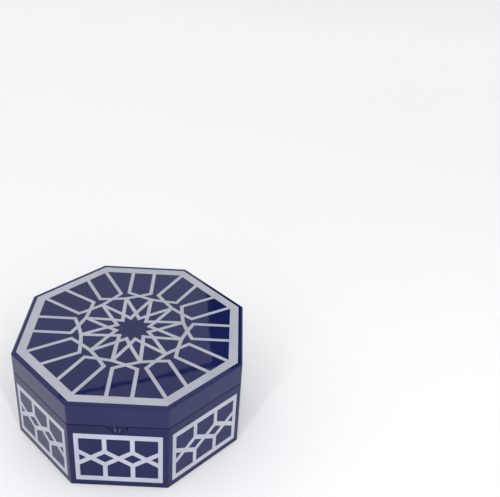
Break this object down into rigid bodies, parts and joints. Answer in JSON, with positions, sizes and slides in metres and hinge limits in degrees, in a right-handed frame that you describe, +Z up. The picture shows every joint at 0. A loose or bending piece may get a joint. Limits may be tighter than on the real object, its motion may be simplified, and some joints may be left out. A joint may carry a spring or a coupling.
{
  "type": "hinged octagonal box",
  "caption": "Octagonal wooden box with a hinged lid, a star of inlaid straps on top, inlaid lattice panels round the sides, a raised inner lip and a gold foil lining.",
  "frame": {"origin": "centre of the box on the surface it stands on", "axes": "+Z up, thumb scoop at -Y, hinge at +Y, X along the front side"},
  "size_m": [0.25, 0.25, 0.114],
  "materials": {
    "blue_lacquered_wood": "high-gloss dark blue lacquer",
    "silver_inlay": "satin silver-grey sheet, lacquered over",
    "gold_foil": "mirror-like crinkled gold foil on board",
    "velvet": "short dark brown velvet on board",
    "nickel": "bright nickel plate"
  },
  "bodies": {
    "base": {"bottom_board": "blue_lacquered_wood", "wall_front": "blue_lacquered_wood", "wall_front_right": "blue_lacquered_wood", "wall_right": "blue_lacquered_wood", "wall_back_right": "blue_lacquered_wood", "wall_back": "blue_lacquered_wood", "wall_back_left": "blue_lacquered_wood", "wall_left": "blue_lacquered_wood", "wall_front_left": "blue_lacquered_wood", "lip_front": "blue_lacquered_wood", "lip_front_right": "blue_lacquered_wood", "lip_right": "blue_lacquered_wood", "lip_back_right": "blue_lacquered_wood", "lip_back": "blue_lacquered_wood", "lip_back_left": "blue_lacquered_wood", "lip_left": "blue_lacquered_wood", "lip_front_left": "blue_lacquered_wood", "inlay_front": "silver_inlay", "inlay_front_right": "silver_inlay", "inlay_right": "silver_inlay", "inlay_back_right": "silver_inlay", "inlay_back": "silver_inlay", "inlay_back_left": "silver_inlay", "inlay_left": "silver_inlay", "inlay_front_left": "silver_inlay", "floor_foil": "gold_foil", "wall_foil": "gold_foil", "base_magnet_left": "nickel", "base_magnet_right": "nickel", "hinge_leaf_base": "nickel", "hinge_pin": "nickel", "hinge_screws_base": "nickel"},
    "lid": {"lid_top_board": "blue_lacquered_wood", "lid_rail_front": "blue_lacquered_wood", "lid_rail_front_right": "blue_lacquered_wood", "lid_rail_right": "blue_lacquered_wood", "lid_rail_back_right": "blue_lacquered_wood", "lid_rail_back": "blue_lacquered_wood", "lid_rail_back_left": "blue_lacquered_wood", "lid_rail_left": "blue_lacquered_wood", "lid_rail_front_left": "blue_lacquered_wood", "lid_border_inlay": "silver_inlay", "lid_star_inlay": "silver_inlay", "lid_lining": "velvet", "lid_magnet_left": "nickel", "lid_magnet_right": "nickel", "hinge_leaf_lid": "nickel", "hinge_screws_lid": "nickel"}
  },
  "joints": [
    {"name": "lid_hinge", "type": "hinge", "parent": "base", "child": "lid", "pos_m": [0, 0.123, 0.0873], "axis": [-1, 0, 0], "range_deg": [0, 105]}
  ]
}
